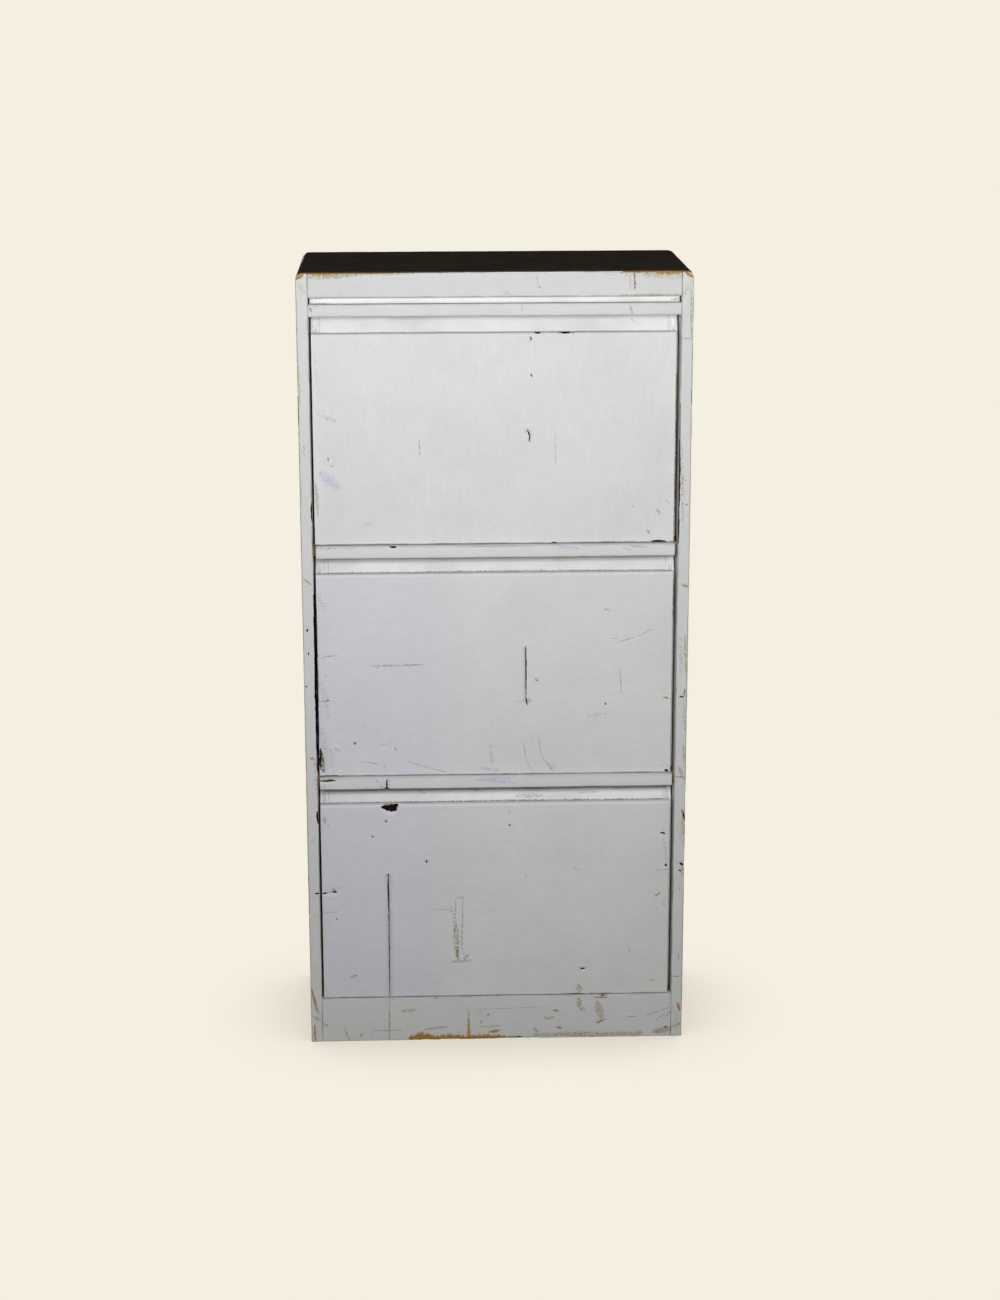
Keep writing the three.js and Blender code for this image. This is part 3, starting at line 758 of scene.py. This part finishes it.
# The marks on the outer faces of the side boards.
SIDE_MARKS = {
    "left": {
        "stain": [(-20, 820, 6, 812, 5)],
        "scratch": [(-70, 1010, 84, 986, 1), (40, 905, 96, 770, 0.9), (-120, 262, 48, 244, 1.1),
            (-134, 356, -118, 420, 0.8)],
        "speckle": [(-124, 660, -30, 700, 24), (20, 96, 110, 60, 18), (-110, 1120, 20, 1150, 16),
            (66, 420, 112, 560, 12)],
        "rust": [(-96, 512, -92, 498, 2.4)],
        "orange": [(-134, 16, -96, 8, 6), (-139, 742, -137, 724, 3)],
        "fringe": [(-143, 3, 60, 3, 9), (60, 2, 137, 2, 5), (-143, 1204, 137, 1206, 2.5)],
        "halo": [(-40, 30, 70, 26, 12)],
    },
    "right": {
        "stain": [(10, 450, 34, 462, 5)],
        "scratch": [(-112, 930, 30, 958, 1), (-30, 720, 10, 590, 0.9), (-62, 300, 96, 318, 1.2),
            (118, 210, 128, 150, 0.8)],
        "speckle": [(30, 1004, 112, 1030, 20), (-120, 150, -40, 90, 18), (-90, 1060, -20, 1100, 14),
            (84, 640, 116, 760, 11)],
        "rust": [(72, 842, 75, 826, 2.2)],
        "orange": [(-136, 380, -134, 352, 3), (88, 10, 126, 18, 6)],
        "fringe": [(-143, 2, -20, 3, 10), (-20, 2, 137, 2, 5), (-143, 1205, 137, 1204, 3)],
        "halo": [(-100, 36, 10, 24, 12)],
    },
}


# ---------------------------------------------------------------- the case

GROOVE_FIT = 0.3 * MM              # the sides' grooves clear the shelves by this much
PAINTED_DEPTH = 60 * MM            # how far behind the front the paint reaches on the sides' inner faces
STRIP_PAINT = 17 * MM              # and on the rails and the lip strips
SIDE_BARE = 6 * MM                 # the sides' inner faces are bare wood to this depth, behind their paint


def front_plane(y):
    """Paint covers what lies in front of y."""
    return (0, y, 0), (0, 1, 0)


def case_side(side, groove_wood):
    """An end board: rounded at its outer top corner, painted outside and along its front edge."""
    node = side + "_side"
    low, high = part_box(node)
    outer_left = side == "left"
    top_radii = (EDGE_ROUND, CORNER_RADIUS) if outer_left else (CORNER_RADIUS, EDGE_ROUND)
    corners = rectangle(low.x, low.z, high.x, high.z, (EDGE_ROUND, EDGE_ROUND, *top_radii))
    sign = -1 if outer_left else 1
    outside = (sign * (SIDE_INNER_X + SIDE_BARE), 0, 0), (-sign, 0, 0)
    planes = [front_plane(FRONT_Y + PAINTED_DEPTH), outside]
    piece = plank("worn_" + node, "y", corners, low.y, high.y, wear=0.8 * MM, seed=3 if outer_left else 5)
    wear = {"coat": PAINT_STILES, "chips": 0.85, "scuffed": 0.6}
    piece.data.materials.append(painted("painted_" + node, "z", planes, MARKS[node], grime=1.35, **wear))
    outer_look = painted(f"painted_{node}_face", "z", planes, SIDE_MARKS[side], front=None, **wear)
    piece.data.materials.append(outer_look)
    for face in piece.data.polygons:
        face.material_index = 1 if sign * face.normal.x > 0.7 else 0
    grooves = bmesh.new()
    for crossing in ("bottom_board", "shelf_1", "shelf_2", "shelf_3"):
        near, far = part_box(crossing)
        span = Vector((far.x - near.x, far.y - near.y + 2 * GROOVE_FIT, far.z - near.z + 2 * GROOVE_FIT))
        middle = Matrix.Translation((near + far) / 2)
        bmesh.ops.create_cube(grooves, size=1, matrix=middle @ Matrix.Diagonal((*span, 1)))
    cutter = as_object("groove_cutter", grooves)
    cutter.data.materials.append(groove_wood)
    carve(piece, cutter)
    gouge(piece, MARKS[node], 0.0, low.y)
    return fit(piece, node, "case", "grey_paint")


def case_strip(node, chips=0.45, coat=PAINT, grime=0.3):
    """A rail or a lip strip across the front."""
    low_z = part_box(node)[0].z
    piece = board("worn_" + node, node, "x", wear=0.6 * MM, seed=len(node))
    look = painted("painted_" + node, "x", [front_plane(FRONT_Y + STRIP_PAINT)], MARKS[node], low_z,
                   coat=coat, chips=chips, grime=grime)
    piece.data.materials.append(look)
    gouge(piece, MARKS[node], low_z, FRONT_Y)
    return fit(piece, node, "case", "grey_paint")


SHEET_THICKNESS = 1.2 * MM
SHEET_COLUMNS, SHEET_ROWS = 120, 40
SHEET_LEFT_INSET = (1.2 * MM, 6.0 * MM)   # at its front and at its back: it is laid a little askew
SHEET_RIGHT_INSET = 3.5 * MM
SHEET_SETBACK = (0.7 * MM, 1.5 * MM)      # of its front edge, to the left of SHEET_STEP_X and to the right
SHEET_STEP_X = -80 * MM
SHEET_WANDER = (2.2 * MM, 0.6 * MM, 2.4 * MM)   # how far its sides, its front and its back edge wander


def crowded(step, steps):
    """Shares from 0 to 1 that crowd towards both ends."""
    return 0.5 - 0.5 * math.cos(math.pi * step / steps)


def sheet_place(s, t, front, back):
    """x and y on the ragged sheet, at a share s of its width and a share t of its depth."""
    side_wander, front_wander, back_wander = SHEET_WANDER
    aside = side_wander * noise.fractal(Vector((7.0, t * 6, 0)), 0.8, 2.0, 3)
    left_inset = SHEET_LEFT_INSET[0] + (SHEET_LEFT_INSET[1] - SHEET_LEFT_INSET[0]) * t
    left = left_inset - SIDE_OUTER_X + abs(aside)
    right = SIDE_OUTER_X - SHEET_RIGHT_INSET + aside
    x = left + (right - left) * s
    setback = SHEET_SETBACK[0] if x < SHEET_STEP_X else SHEET_SETBACK[1]
    near = front + setback + front_wander * noise.fractal(Vector((s * 30, 0, 9)), 0.7, 2.0, 4)
    far = back - back_wander * (1 + noise.fractal(Vector((s * 16, 3.0, 0)), 0.7, 2.0, 4))
    return x, near + (far - near) * t


def top_covering():
    """The thin black sheet. Its edges are ragged, and it turns down over the sides' rounded corners."""
    low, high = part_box("top_covering")
    arc_start = SIDE_OUTER_X - CORNER_RADIUS
    bend = CORNER_RADIUS + high.z - BOARD_TOP_Z
    mesh = bmesh.new()
    edge_layer = mesh.verts.layers.float.new("edge")

    def sheet_vert(i, j, drop):
        x, y = sheet_place(crowded(i, SHEET_COLUMNS), crowded(j, SHEET_ROWS), low.y, high.y)
        over = max(0.0, abs(x) - arc_start)
        bent_z = BOARD_TOP_Z - CORNER_RADIUS + math.sqrt(max(0.0, bend ** 2 - over ** 2))
        vert = mesh.verts.new((x, y, min(high.z, bent_z) - drop))
        vert[edge_layer] = max(0.0, 1 - min(i, SHEET_COLUMNS - i, j, SHEET_ROWS - j) / 3)
        return vert

    rims = []
    for drop in (0.0, SHEET_THICKNESS):
        grid = [[sheet_vert(i, j, drop) for i in range(SHEET_COLUMNS + 1)] for j in range(SHEET_ROWS + 1)]
        for row, next_row in zip(grid, grid[1:]):
            for i in range(SHEET_COLUMNS):
                face = mesh.faces.new((row[i], row[i + 1], next_row[i + 1], next_row[i]))
                face.smooth = drop == 0.0
        right_side, left_side = [row[-1] for row in grid[1:-1]], [row[0] for row in grid[-2:0:-1]]
        rims.append(grid[0] + right_side + grid[-1][::-1] + left_side)
    skin(mesh, rims)
    bmesh.ops.recalc_face_normals(mesh, faces=mesh.faces)
    piece = as_object("black_top_sheet", mesh)
    return fit(piece, "top_covering", "case", "black_covering", black_covering("black_sheet"))


NAIL_HEAD = 2.6 * MM               # radius
NAIL_PROUD = 0.6 * MM
NAIL_INSET = 9 * MM                # from the panel's edges, and above the lower faces of the boards it meets
SIDE_NAILS = (0.04, 1.18, 10)      # the first nail's height, the last one's, and how many
END_NAILS = (-0.22, 0.22, 5)       # the same across the top board and the bottom board
SHELF_NAILS = (-0.15, 0.15, 3)
NAIL_PROFILE = [(0.5 * NAIL_HEAD, -1.5 * MM), (0.5 * NAIL_HEAD, -0.2 * MM), (NAIL_HEAD, -0.05 * MM),
                (NAIL_HEAD, 0.25 * MM), (0.85 * NAIL_HEAD, 0.5 * MM), (0.4 * NAIL_HEAD, NAIL_PROUD)]


def back_panel():
    """The thin back, and the nails that hold it, whose heads stand a little proud of it."""
    low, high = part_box("back_panel")
    back = high.y - NAIL_PROUD
    corners = rectangle(low.x, low.z, high.x, high.z, (EDGE_ROUND, EDGE_ROUND, CORNER_RADIUS, CORNER_RADIUS))
    piece = plank("worn_back_panel", "y", corners, low.y, back, seed=8, wear=0.3 * MM)
    fit(piece, "back_panel", "case", "bare_wood", bare_wood("back_board_wood", "z", dust=0.55))

    places = [(sign * (high.x - NAIL_INSET), z) for sign in (-1, 1) for z in np.linspace(*SIDE_NAILS)]
    end_heights = [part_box("bottom_board")[0].z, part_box("top_board")[0].z]
    shelf_heights = [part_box(f"shelf_{n}")[0].z for n in (1, 2, 3)]
    for row, heights in ((END_NAILS, end_heights), (SHELF_NAILS, shelf_heights)):
        places += [(x, z + NAIL_INSET) for z in heights for x in np.linspace(*row)]
    mesh = bmesh.new()
    for index, (x, z) in enumerate(places):
        shift = noise.noise_vector(Vector((index * 3.1, 0, 4))) * 3 * MM
        lathe(mesh, NAIL_PROFILE, facing_back(x + shift.x, back, z + shift.z), 14)
    nails = as_object("back_panel_nails", mesh)
    nails.data.materials.append(old_steel("nail_steel"))
    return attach(nails, "case")


def lathe(mesh, profile, matrix, segments):
    """Turns a profile of (radius, height) about the local Z axis and closes both ends."""
    rings = []
    for radius, height in profile:
        rings.append([mesh.verts.new(matrix @ Vector((radius * math.cos(a), radius * math.sin(a), height)))
                      for a in np.linspace(0, 2 * math.pi, segments, endpoint=False)])
    for face in skin(mesh, rings):
        face.smooth = True
    mesh.faces.new(rings[0][::-1])
    mesh.faces.new(rings[-1])


def facing_back(x, y, z):
    """Places a turned shape at a point, with its own axis towards the back."""
    return Matrix.Translation((x, y, z)) @ Matrix.Rotation(-math.pi / 2, 4, "X")


def case_inside():
    """The boards that show only with a drawer out: bare wood, with the runner strips under the top."""
    shelf_wood, upright_wood = bare_wood("shelf_wood", "x"), bare_wood("runner_wood", "y")
    for node in ("top_board", "bottom_board", "shelf_1", "shelf_2", "shelf_3"):
        plain(node, "x", "case", shelf_wood, seed=len(node))
    for side in SIDES:
        plain(side + "_kicker", "y", "case", upright_wood)
        for n in DRAWERS:
            plain(f"drawer_{n}_{side}_stop", "y", "case", upright_wood, seed=n)


# ---------------------------------------------------------------- a drawer

PANEL_TOP_ROUND = 5 * MM           # the front panel's upper front edge
PANEL_BARE = 3 * MM                # how much of the front panel's thickness is bare, at its back
PULL_PAINT = 6 * MM                 # how far behind the finger pull's face its paint reaches
PULL_MARKS_DROP = 5 * MM           # its marks are measured from this far below where it begins to lean
PULL_KINK_ROUND = 0.3 * MM
SIDE_PAINT = 30 * MM               # how far behind their front ends the drawer sides are painted
SIDE_TOP_SLANT = 30.5 * MM         # the height over which the drawer sides' front ends lean back


def front_panel(n):
    node, body = f"drawer_{n}_front_panel", f"drawer_{n}"
    low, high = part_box(node)
    corners = rectangle(low.y, low.z, high.y, high.z, (EDGE_ROUND, EDGE_ROUND, EDGE_ROUND, PANEL_TOP_ROUND))
    piece = plank("worn_" + node, "x", corners, low.x, high.x, step=10 * MM, wear=0.7 * MM, seed=10 + n)
    grain, cool = ("z", None) if n == 1 else ("x", low.x)
    look = painted("painted_" + node, grain, [front_plane(high.y - PANEL_BARE)], MARKS[node], low.z, low.y,
                   chips=0.35, scuffed=0.2 + 0.2 * n, cool=cool)
    piece.data.materials.append(look)
    gouge(piece, MARKS[node], low.z, low.y)
    return fit(piece, node, body, "grey_paint")


def finger_pull(n):
    """The board behind the panel's top edge: its face leans back to leave room for the fingers."""
    node, body = f"drawer_{n}_finger_pull", f"drawer_{n}"
    low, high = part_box(node)
    panel_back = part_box(f"drawer_{n}_front_panel")[1].y
    lean = math.tan(TILT)
    kink_z = high.z - SIDE_TOP_SLANT
    face_top = panel_back + SIDE_TOP_SLANT * lean
    back_low = high.y - (high.z - low.z) * lean
    eased = (panel_back, low.z), (back_low, low.z), (high.y, high.z), (face_top, high.z)
    corners = [(y, z, EDGE_ROUND) for y, z in eased] + [(panel_back, kink_z, PULL_KINK_ROUND)]
    piece = plank("worn_" + node, "x", corners, low.x, high.x, wear=0.4 * MM, seed=20 + n)
    behind = Vector((0, face_top + PULL_PAINT, high.z))
    planes = [(behind, (0, math.cos(TILT), -math.sin(TILT)))]
    # Its paler coat is a painted highlight, for the light its leaning face catches from above.
    look = painted("painted_" + node, "x", planes, MARKS[node], kink_z - PULL_MARKS_DROP,
                   high.y - MARK_REACH, coat=PAINT_HIGHLIT, chips=0.2, grime=0.3)
    return fit(piece, node, body, "grey_paint", look)


def drawer_side(n, side):
    """A drawer side, whose painted front end leans back beside the finger pull."""
    node, body = f"drawer_{n}_{side}_side", f"drawer_{n}"
    low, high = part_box(node)
    slant = SIDE_TOP_SLANT * math.tan(TILT)

    def lean(p):
        up = max(0.0, p.z - (high.z - SIDE_TOP_SLANT))
        share = (high.y - p.y) / (high.y - low.y)
        return Vector((p.x, p.y + share * slant * up / SIDE_TOP_SLANT, p.z))

    piece = board("worn_" + node, node, "y", step=14 * MM, wear=0.4 * MM, seed=30 + n, reshape=lean)
    # Its paler front end is a painted highlight, as on the finger pull.
    look = painted(node + "_wood", "y", [front_plane(low.y + slant + SIDE_PAINT)], MARKS.get(node, {}),
                   low.z, low.y, coat=PAINT_HIGHLIT, chips=0.2, grime=0.3)
    return fit(piece, node, body, "grey_paint", look)


SCREW_SLOT = (1.2 * MM, 0.9 * MM)   # twice its depth, and its width


def screw(node, body, look):
    """A slotted wood screw in a corner block, with its head towards the back of the drawer."""
    low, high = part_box(node)
    centre = (low + high) / 2
    radius = (high.x - low.x) / 2
    mesh = bmesh.new()
    shank = 0.45 * radius
    length = high.y - low.y
    profile = [(0.3 * shank, -length), (shank, -length + 2 * MM), (shank, -1.4 * MM),
               (0.97 * radius, -0.9 * MM), (radius, -0.6 * MM),
               (0.9 * radius, -0.25 * MM), (0.5 * radius, 0)]
    lathe(mesh, profile, facing_back(centre.x, high.y, centre.z), 20)
    piece = as_object("slotted_" + node, mesh)
    slot_mesh = bmesh.new()
    angle = noise.noise(centre * 37) * math.pi
    cutter_at = Matrix.Translation((centre.x, high.y, centre.z)) @ Matrix.Rotation(angle, 4, "Y")
    size = Matrix.Diagonal((3 * radius, *SCREW_SLOT, 1))
    bmesh.ops.create_cube(slot_mesh, size=1, matrix=cutter_at @ size)
    carve(piece, as_object("slot_cutter", slot_mesh))
    return fit(piece, node, body, "steel", look)


def carve(piece, cutter):
    """Takes the cutter's shape out of a piece. The new faces keep the cutter's material."""
    modifier = piece.modifiers.new("carve", "BOOLEAN")
    modifier.operation, modifier.object, modifier.solver = "DIFFERENCE", cutter, "EXACT"
    modifier.material_mode = "TRANSFER"
    depsgraph = bpy.context.evaluated_depsgraph_get()
    result = bpy.data.meshes.new_from_object(piece.evaluated_get(depsgraph))
    piece.modifiers.clear()
    old = piece.data
    piece.data = result
    bpy.data.meshes.remove(old)
    bpy.data.objects.remove(cutter)


def drawer(n, inside_wood, bottom_wood, steel):
    body = f"drawer_{n}"
    front_panel(n)
    finger_pull(n)
    for side in SIDES:
        drawer_side(n, side)
        plain(f"{body}_{side}_corner_block", "z", body, inside_wood, step=25 * MM, seed=n)
        for height in ("lower", "upper"):
            screw(f"{body}_{height}_{side}_screw", body, steel)
    plain(body + "_back", "x", body, inside_wood, step=25 * MM, seed=n)
    plain(body + "_bottom", "x", body, bottom_wood, step=40 * MM, seed=n)


# ---------------------------------------------------------------- the pull-out board

BOARD_CORNER = 6 * MM              # its front corners, seen from above
PAINTED_NOSE = 30 * MM             # how far back its paint reaches


def pull_out_board():
    low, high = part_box("pull_out_board")
    nose = 0.48 * (high.z - low.z)
    corners = rectangle(low.y, low.z, high.y, high.z, (nose, EDGE_ROUND, EDGE_ROUND, nose))

    def round_corners(p):
        over = abs(p.x) - (high.x - BOARD_CORNER)
        if over <= 0 or p.y > low.y + PAINTED_NOSE:
            return p
        back = BOARD_CORNER - math.sqrt(max(0.0, BOARD_CORNER ** 2 - over ** 2))
        share = 1 - (p.y - low.y) / PAINTED_NOSE
        return Vector((p.x, p.y + back * share, p.z))

    piece = plank("worn_pull_out_board", "x", corners, low.x, high.x, wear=0.3 * MM, seed=41,
                  reshape=round_corners)
    # Its near-white coat is a painted highlight on its rounded edge.
    look = painted("painted_pull_out_board", "x", [front_plane(low.y + PAINTED_NOSE)],
                   MARKS["pull_out_board"], low.z, low.y, coat=PAINT_NOSE_HIGHLIT, chips=0.1, scuffed=0.2)
    fit(piece, "pull_out_board", "pull_out_board", "grey_paint", look)
    plain("pull_out_board_stop", "x", "pull_out_board", bare_wood("stop_wood", "x"))


# ---------------------------------------------------------------- room, light and camera

CREAM = rgba(0.913, 0.863, 0.752)
FLOOR_SHADOW = rgba(0.66, 0.62, 0.53)
FLOOR_BOUNCE = rgba(0.34, 0.33, 0.31)          # what the floor throws back on the cabinet
FLOOR_SIZE = 60.0
SHADOW_REACH = 0.22                # how far from the cabinet its shadow on the floor dies away
AMBIENT = 0.17


def seen_as(tree, out, camera_shader, other_shader):
    """The camera sees one plain pale shader, and the light on the cabinet comes from another."""
    path = tree.nodes.new("ShaderNodeLightPath")
    mix = tree.nodes.new("ShaderNodeMixShader")
    tree.links.new(path.outputs["Is Camera Ray"], mix.inputs[0])
    tree.links.new(other_shader.outputs[0], mix.inputs[1])
    tree.links.new(camera_shader.outputs[0], mix.inputs[2])
    tree.links.new(mix.outputs[0], out.inputs["Surface"])


def floor():
    mesh = bmesh.new()
    bmesh.ops.create_grid(mesh, x_segments=2, y_segments=2, size=FLOOR_SIZE / 2)
    piece = as_object("floor", mesh)
    material, g = new_material("pale_floor")
    g.tree.nodes.remove(node_of(g.tree, "BSDF_PRINCIPLED"))
    # The camera sees the floor as even cream with a painted shadow: darker where ambient occlusion finds the
    # cabinet near.
    near = g.field("AmbientOcclusion", "AO", {"Distance": SHADOW_REACH}, samples=8)
    seen = g.add("Emission", {"Color": g.mix(g.rise(near, 0.30, 0.98), FLOOR_SHADOW, CREAM)})
    lit = g.add("BsdfDiffuse", {"Color": FLOOR_BOUNCE})
    seen_as(g.tree, node_of(g.tree, "OUTPUT_MATERIAL"), seen, lit)
    piece.data.materials.append(material)


def surroundings():
    world = bpy.data.worlds.new("studio")
    bpy.context.scene.world = world
    world.use_nodes = True
    tree = world.node_tree
    seen = node_of(tree, "BACKGROUND")
    seen.inputs["Color"].default_value = CREAM
    glow = tree.nodes.new("ShaderNodeBackground")
    glow.inputs["Color"].default_value = rgba(1.0, 1.0, 1.0)
    glow.inputs["Strength"].default_value = AMBIENT
    seen_as(tree, node_of(tree, "OUTPUT_WORLD"), seen, glow)


def soft_light(name, at, towards, size, power):
    light = bpy.data.lights.new(name, "AREA")
    light.shape, light.size, light.size_y, light.energy = "RECTANGLE", size[0], size[1], power
    obj = bpy.data.objects.new(name, light)
    bpy.context.scene.collection.objects.link(obj)
    obj.location = at
    obj.rotation_mode = "QUATERNION"
    obj.rotation_quaternion = (Vector(towards) - Vector(at)).to_track_quat("-Z", "Y")


def lights():
    """One large soft light above and in front, so the front is brighter towards its top, and two weak
    ones that keep the sides and the back readable."""
    soft_light("key", (-0.05, FRONT_Y - 1.65, 1.38), (0, FRONT_Y, 1.52), (1.5, 0.6), 28)
    soft_light("left_fill", (-2.8, 0.4, 1.2), (0, 0, 0.6), (1.4, 1.4), 18)
    soft_light("right_fill", (2.8, 0.6, 1.2), (0, 0, 0.6), (1.4, 1.4), 18)
    soft_light("back_fill", (0.3, 2.8, 1.1), (0, 0, 0.6), (1.6, 1.4), 22)


CAMERA_AT = (-0.1349, -3.9663, 1.6467)
CAMERA_PITCH, CAMERA_YAW, CAMERA_ROLL = (math.radians(a) for a in (14.7264, 2.1107, 0.1141))
CAMERA_LENS = 71.494               # on a 36 mm frame's long side


def camera():
    """Looks a little down and to the right, from the left of the cabinet's middle."""
    data = bpy.data.cameras.new("camera")
    data.sensor_width, data.lens = 36.0, CAMERA_LENS
    obj = bpy.data.objects.new("camera", data)
    bpy.context.scene.collection.objects.link(obj)
    turn = (Matrix.Rotation(-CAMERA_YAW, 4, "Z") @ Matrix.Rotation(math.pi / 2 - CAMERA_PITCH, 4, "X")
            @ Matrix.Rotation(-CAMERA_ROLL, 4, "Z"))
    obj.matrix_world = Matrix.Translation(CAMERA_AT) @ turn
    bpy.context.scene.camera = obj
    bpy.context.scene.view_settings.view_transform = "Standard"


def build():
    camera()
    lights()
    surroundings()
    floor()
    groove_wood = bare_wood("groove_wood", "y")
    for side in SIDES:
        case_side(side, groove_wood)
    case_strip("top_rail", coat=PAINT_RAIL, grime=0.7)
    case_strip("shelf_1_lip", coat=PAINT_STILES)
    case_strip("shelf_2_lip")
    case_strip("shelf_3_lip")
    case_strip("base_rail", chips=0.6, coat=PAINT_STILES)
    top_covering()
    back_panel()
    case_inside()
    pull_out_board()
    inside_wood, bottom_wood = bare_wood("drawer_wood", "z"), bare_wood("drawer_bottom_wood", "x", dust=0.5)
    steel = old_steel("screw_steel")
    for n in DRAWERS:
        drawer(n, inside_wood, bottom_wood, steel)


build()
